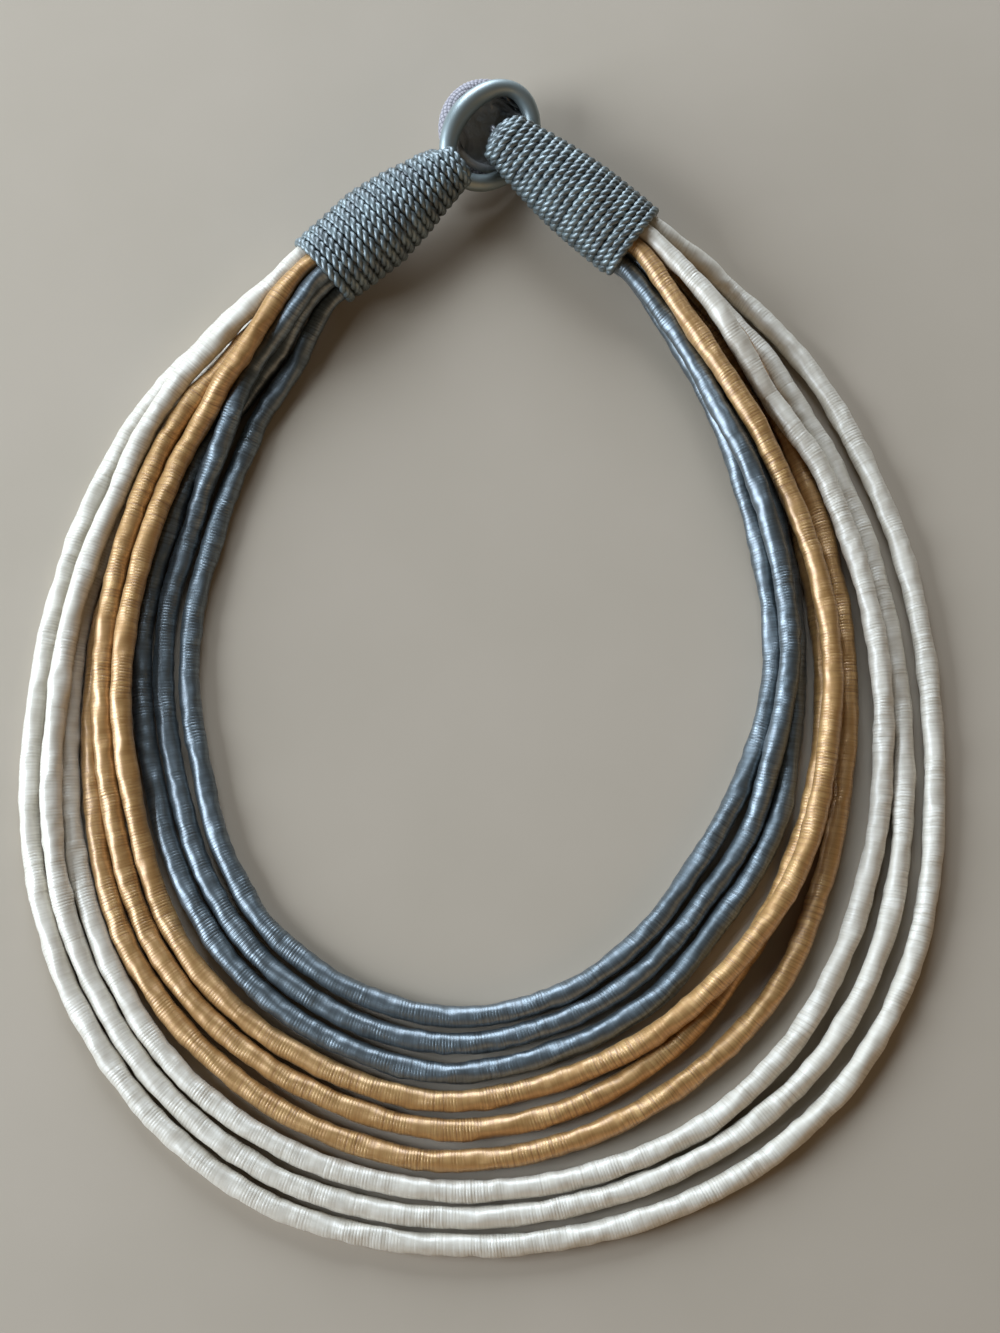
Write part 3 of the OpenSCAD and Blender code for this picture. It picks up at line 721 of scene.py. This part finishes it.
# Button dome
# A domed button covered in plain-woven pale grey cloth, drawn round its edge. It lies face down and
# leans on its edge.
DOME_MID = (EDGE_IN ** 2 + EDGE_LOW ** 2 - (BUTTON_H - EDGE_R) ** 2) / (2 * (BUTTON_H - EDGE_R + EDGE_LOW))
DOME_R = DOME_MID + BUTTON_H
BACK_R = EDGE_IN + 0.3
# One thread and its gap, drawn coarser than the real cloth of about 0.4 mm so that the weave shows
WEAVE_PITCH = 1.0
THREAD_RISE = 0.1
THREAD_THICK = 0.2
CLOTH_ROWS = 92
CLOTH_TURNS = 380
# The cloth starts this far from the middle, and ends this far before the edge is fully round
CLOTH_START, CLOTH_END = 0.3, 0.2


def on_clasp(r, turn, z):
    """A point of the button from its radius, angle and height over the plane of its back."""
    flat = r[..., None] * (np.cos(turn)[..., None] * LEAN_UP + np.sin(turn)[..., None] * -LEAN_ACROSS)
    return CLASP + flat + z[..., None] * LEAN_AWAY


def swept(outline, turns):
    """Rows of an outline of (radius, height) points, turned round the button's axis."""
    shape = len(outline), len(turns)
    r = np.broadcast_to(outline[:, :1], shape)
    z = np.broadcast_to(outline[:, 1:], shape)
    return on_clasp(r, np.broadcast_to(turns, shape), z)


# Profile of the outside from the middle. Columns: radius, height, and the same parts of its outward way
slope = math.atan2(EDGE_IN, DOME_MID - EDGE_LOW)
sphere = np.linspace(0, slope, 70)
edge = np.linspace(slope, math.pi, 40)[1:]
domed = [DOME_R * np.sin(sphere), DOME_MID - DOME_R * np.cos(sphere), np.sin(sphere), -np.cos(sphere)]
rounded = [EDGE_IN + EDGE_R * np.sin(edge), EDGE_LOW - EDGE_R * np.cos(edge), np.sin(edge), -np.cos(edge)]
profile = np.concatenate([np.stack(domed, axis=1), np.stack(rounded, axis=1)])
step = np.linalg.norm(np.diff(profile[:, :2], axis=0), axis=1)
reach = np.concatenate([[0], np.cumsum(step)])
cloth_run = np.linspace(CLOTH_START, reach[-1] - CLOTH_END, CLOTH_ROWS)
cloth_turn = 2 * math.pi * np.arange(CLOTH_TURNS) / CLOTH_TURNS
run, turn = np.meshgrid(cloth_run, cloth_turn, indexing="ij")
r, z, out_r, out_z = (np.interp(run, reach, profile[:, k]) for k in range(4))
a, b = run * np.cos(turn) / WEAVE_PITCH, run * np.sin(turn) / WEAVE_PITCH


def thread_height(across, down):
    """Height of the threads of one direction, which pass over and under the others."""
    from_middle = across - np.round(across)
    over = np.cos(math.pi * down) * np.where(np.round(across) % 2 == 0, 1, -1)
    return THREAD_RISE * over + THREAD_THICK * np.sqrt(np.maximum(0, 1 - (2 * from_middle) ** 2))


weave = np.maximum(thread_height(a, b), thread_height(b, a + 1)) - THREAD_THICK
cloth = on_clasp(r + weave * out_r, turn, z + weave * out_z)
# Inside, the dome is a plain wall that follows the button's back, just under it
DOME_WALL = 1.5
DOME_BORE = BACK_R + 0.1
DOME_RIM = -0.7
BORE_END = -2.5
LINING_RADII = (8.6, 7.6, 6.2, 4.6, 3, 1.6, 0.5)
lining = [(r, DOME_MID - math.sqrt((DOME_R - DOME_WALL) ** 2 - r ** 2)) for r in LINING_RADII]
wall = np.array([(DOME_BORE, DOME_RIM), (DOME_BORE, BORE_END), *lining])
inside = swept(wall, cloth_turn)
# Plain-woven cloth: matt, with pale threads that cross over holes, which are painted dark as painted shade
woven_cloth, tree, shader = new_material("pale_plain_woven_cloth", Roughness=0.6, Sheen_Weight=0.2)
# Clouds of about 2 mm
spots = add_node(tree, "TexCoord", {})
clouds = add_node(tree, "TexNoise", {"Vector": spots.outputs["Object"], "Scale": 0.5 / MM, "Detail": 3})
tint = add_node(tree, "Mix", {SHARE: clouds.outputs[0], FIRST: linear("#857f82"),
                              SECOND: linear("#aba5a6")}, data_type="RGBA")
# The place across the cloth comes from its run and angle
place = add_node(tree, "UVMap", {}, uv_map="winding")
axes = add_node(tree, "SeparateXYZ", {"Vector": place.outputs[0]})
angle = add_node(tree, "Math", {0: axes.outputs[1], 1: 2 * math.pi}, operation="MULTIPLY")
gaps = []
for way in ("COSINE", "SINE"):
    part = add_node(tree, "Math", {0: angle.outputs[0]}, operation=way)
    across = add_node(tree, "Math", {0: axes.outputs[0], 1: part.outputs[0]}, operation="MULTIPLY")
    off = add_node(tree, "Math", {0: across.outputs[0], 1: WEAVE_PITCH / 2}, operation="PINGPONG")
    gaps.append(add_node(tree, "MapRange", {"Value": off.outputs[0], "From Min": 0.26 * WEAVE_PITCH,
                                            "From Max": 0.5 * WEAVE_PITCH, "To Min": 0.0, "To Max": 0.85}))
# Painted shade: the holes between the threads are darkened
hole_shade = add_node(tree, "Math", {0: gaps[0].outputs[0], 1: gaps[1].outputs[0]}, operation="MAXIMUM")
tint = add_node(tree, "Mix", {SHARE: hole_shade.outputs[0], FIRST: tint.outputs[2],
                              SECOND: linear("#35333a")}, data_type="RGBA")
tree.links.new(tint.outputs[2], shader.inputs["Base Color"])
# Fuzz of about 0.25 mm, coarser than the real one
fuzz = add_node(tree, "TexNoise", {"Vector": spots.outputs["Object"], "Scale": 4 / MM, "Detail": 2})
bump = add_node(tree, "Bump", {"Height": fuzz.outputs[0], "Strength": 0.4, "Distance": 0.05 * MM})
tree.links.new(bump.outputs[0], shader.inputs["Normal"])
tree.links.new(bump.outputs[0], shader.inputs["Coat Normal"])
cloth_values = np.concatenate([cloth_run, cloth_run[-1] + 1 + np.arange(len(wall))])
dome = piece_from("woven_dome", [(np.concatenate([cloth, inside]), False, 0, 0, cloth_values)], [woven_cloth])
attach(dome, "root")
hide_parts("button_dome")


# Button back
# The button's shell of moulded plastic, hollow, with a rounded rim, polished and clouded at random
# with dark and pale grey. It is a little wavy, and mirrors the light in small sharp glints.
polished_shell, tree, shader = new_material("clouded_polished_plastic", Roughness=0.25, Coat_Weight=0.6,
                                            Coat_Roughness=0.06)
# Clouds of about 10 mm, and a surface with waves of about 4 mm
spots = add_node(tree, "TexCoord", {})
clouds = add_node(tree, "TexNoise", {"Vector": spots.outputs["Object"], "Scale": 0.1 / MM, "Detail": 5,
                                     "Distortion": 1.0})
shade = add_node(tree, "MapRange", {"Value": clouds.outputs[0], "From Min": 0.4, "From Max": 0.52})
tint = add_node(tree, "Mix", {SHARE: shade.outputs[0], FIRST: linear("#171818"),
                              SECOND: linear("#a3a3a0")}, data_type="RGBA")
tree.links.new(tint.outputs[2], shader.inputs["Base Color"])
waviness = add_node(tree, "TexNoise", {"Vector": spots.outputs["Object"], "Scale": 0.26 / MM, "Detail": 3})
bump = add_node(tree, "Bump", {"Height": waviness.outputs[0], "Strength": 0.8, "Distance": 1.0 * MM})
tree.links.new(bump.outputs[0], shader.inputs["Normal"])
tree.links.new(bump.outputs[0], shader.inputs["Coat Normal"])
BACK_WALL = 1.6
BACK_SIDES = 96
HOLLOW_R = BACK_R - 2
HOLLOW_DEEP = 3.2
RIM_R = 1
rim = [(BACK_R - RIM_R - RIM_R * math.sin(t), -RIM_R + RIM_R * math.cos(t))
       for t in np.linspace(-math.pi / 2, math.pi / 2, 14)]
fall = [(HOLLOW_R * math.cos(t), -RIM_R - (HOLLOW_DEEP - RIM_R) * math.sin(t) ** 0.8)
        for t in np.linspace(0.05, 1.5, 20)]
under = [(r, DOME_MID - math.sqrt((DOME_R - BACK_WALL) ** 2 - r ** 2)) for r in np.linspace(0.5, BACK_R, 12)]
bowl = np.array([*under, *rim, *fall])
back_rows = swept(bowl, 2 * math.pi * np.arange(BACK_SIDES) / BACK_SIDES)
back = piece_from("polished_back", [(back_rows, False, 0, 0, np.arange(len(bowl)))], [polished_shell])
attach(back, "root")
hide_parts("button_back")


# Tie
# A short length of two-ply rayon cord, almost black, that holds the button's shell to the right
# binding. It stands in the hollow and bends into the binding's tip.
DARK_CORD = twisted_rayon("dark_twisted_rayon", "#191512", "#0f0c0a", "#241d18")
TIE_R = 1.3
TIE_SPREAD = 0.9
TIE_TWIST = 5
TIE_SIDES = 12
TIE_ROWS = 40
# How far the tie is fixed below the middle of the hollow, down the lean, and how far it stops short
TIE_DOWN = 3
TIE_SHORT = 1.1
along = unit(RIGHT_MOUTH - RIGHT_TIP)
foot = CLASP - TIE_DOWN * LEAN_UP + (GAP - HOLLOW_DEEP) * LEAN_AWAY
head = RIGHT_TIP - (TIE_SHORT + GAP) * along
path = curve([foot, head], LEAN_AWAY, along, [TIE_ROWS])
out = np.broadcast_to(LEAN_ACROSS, path.shape)
plies = twisted_cord(path, out, TIE_R / 2, TIE_R / 2, TIE_SPREAD, TIE_TWIST, TIE_SIDES)
tie = piece_from("twisted_tie", [(rows, False, 0, 0, run) for rows, run in plies], [DARK_CORD])
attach(tie, "root")
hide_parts("button_tie")
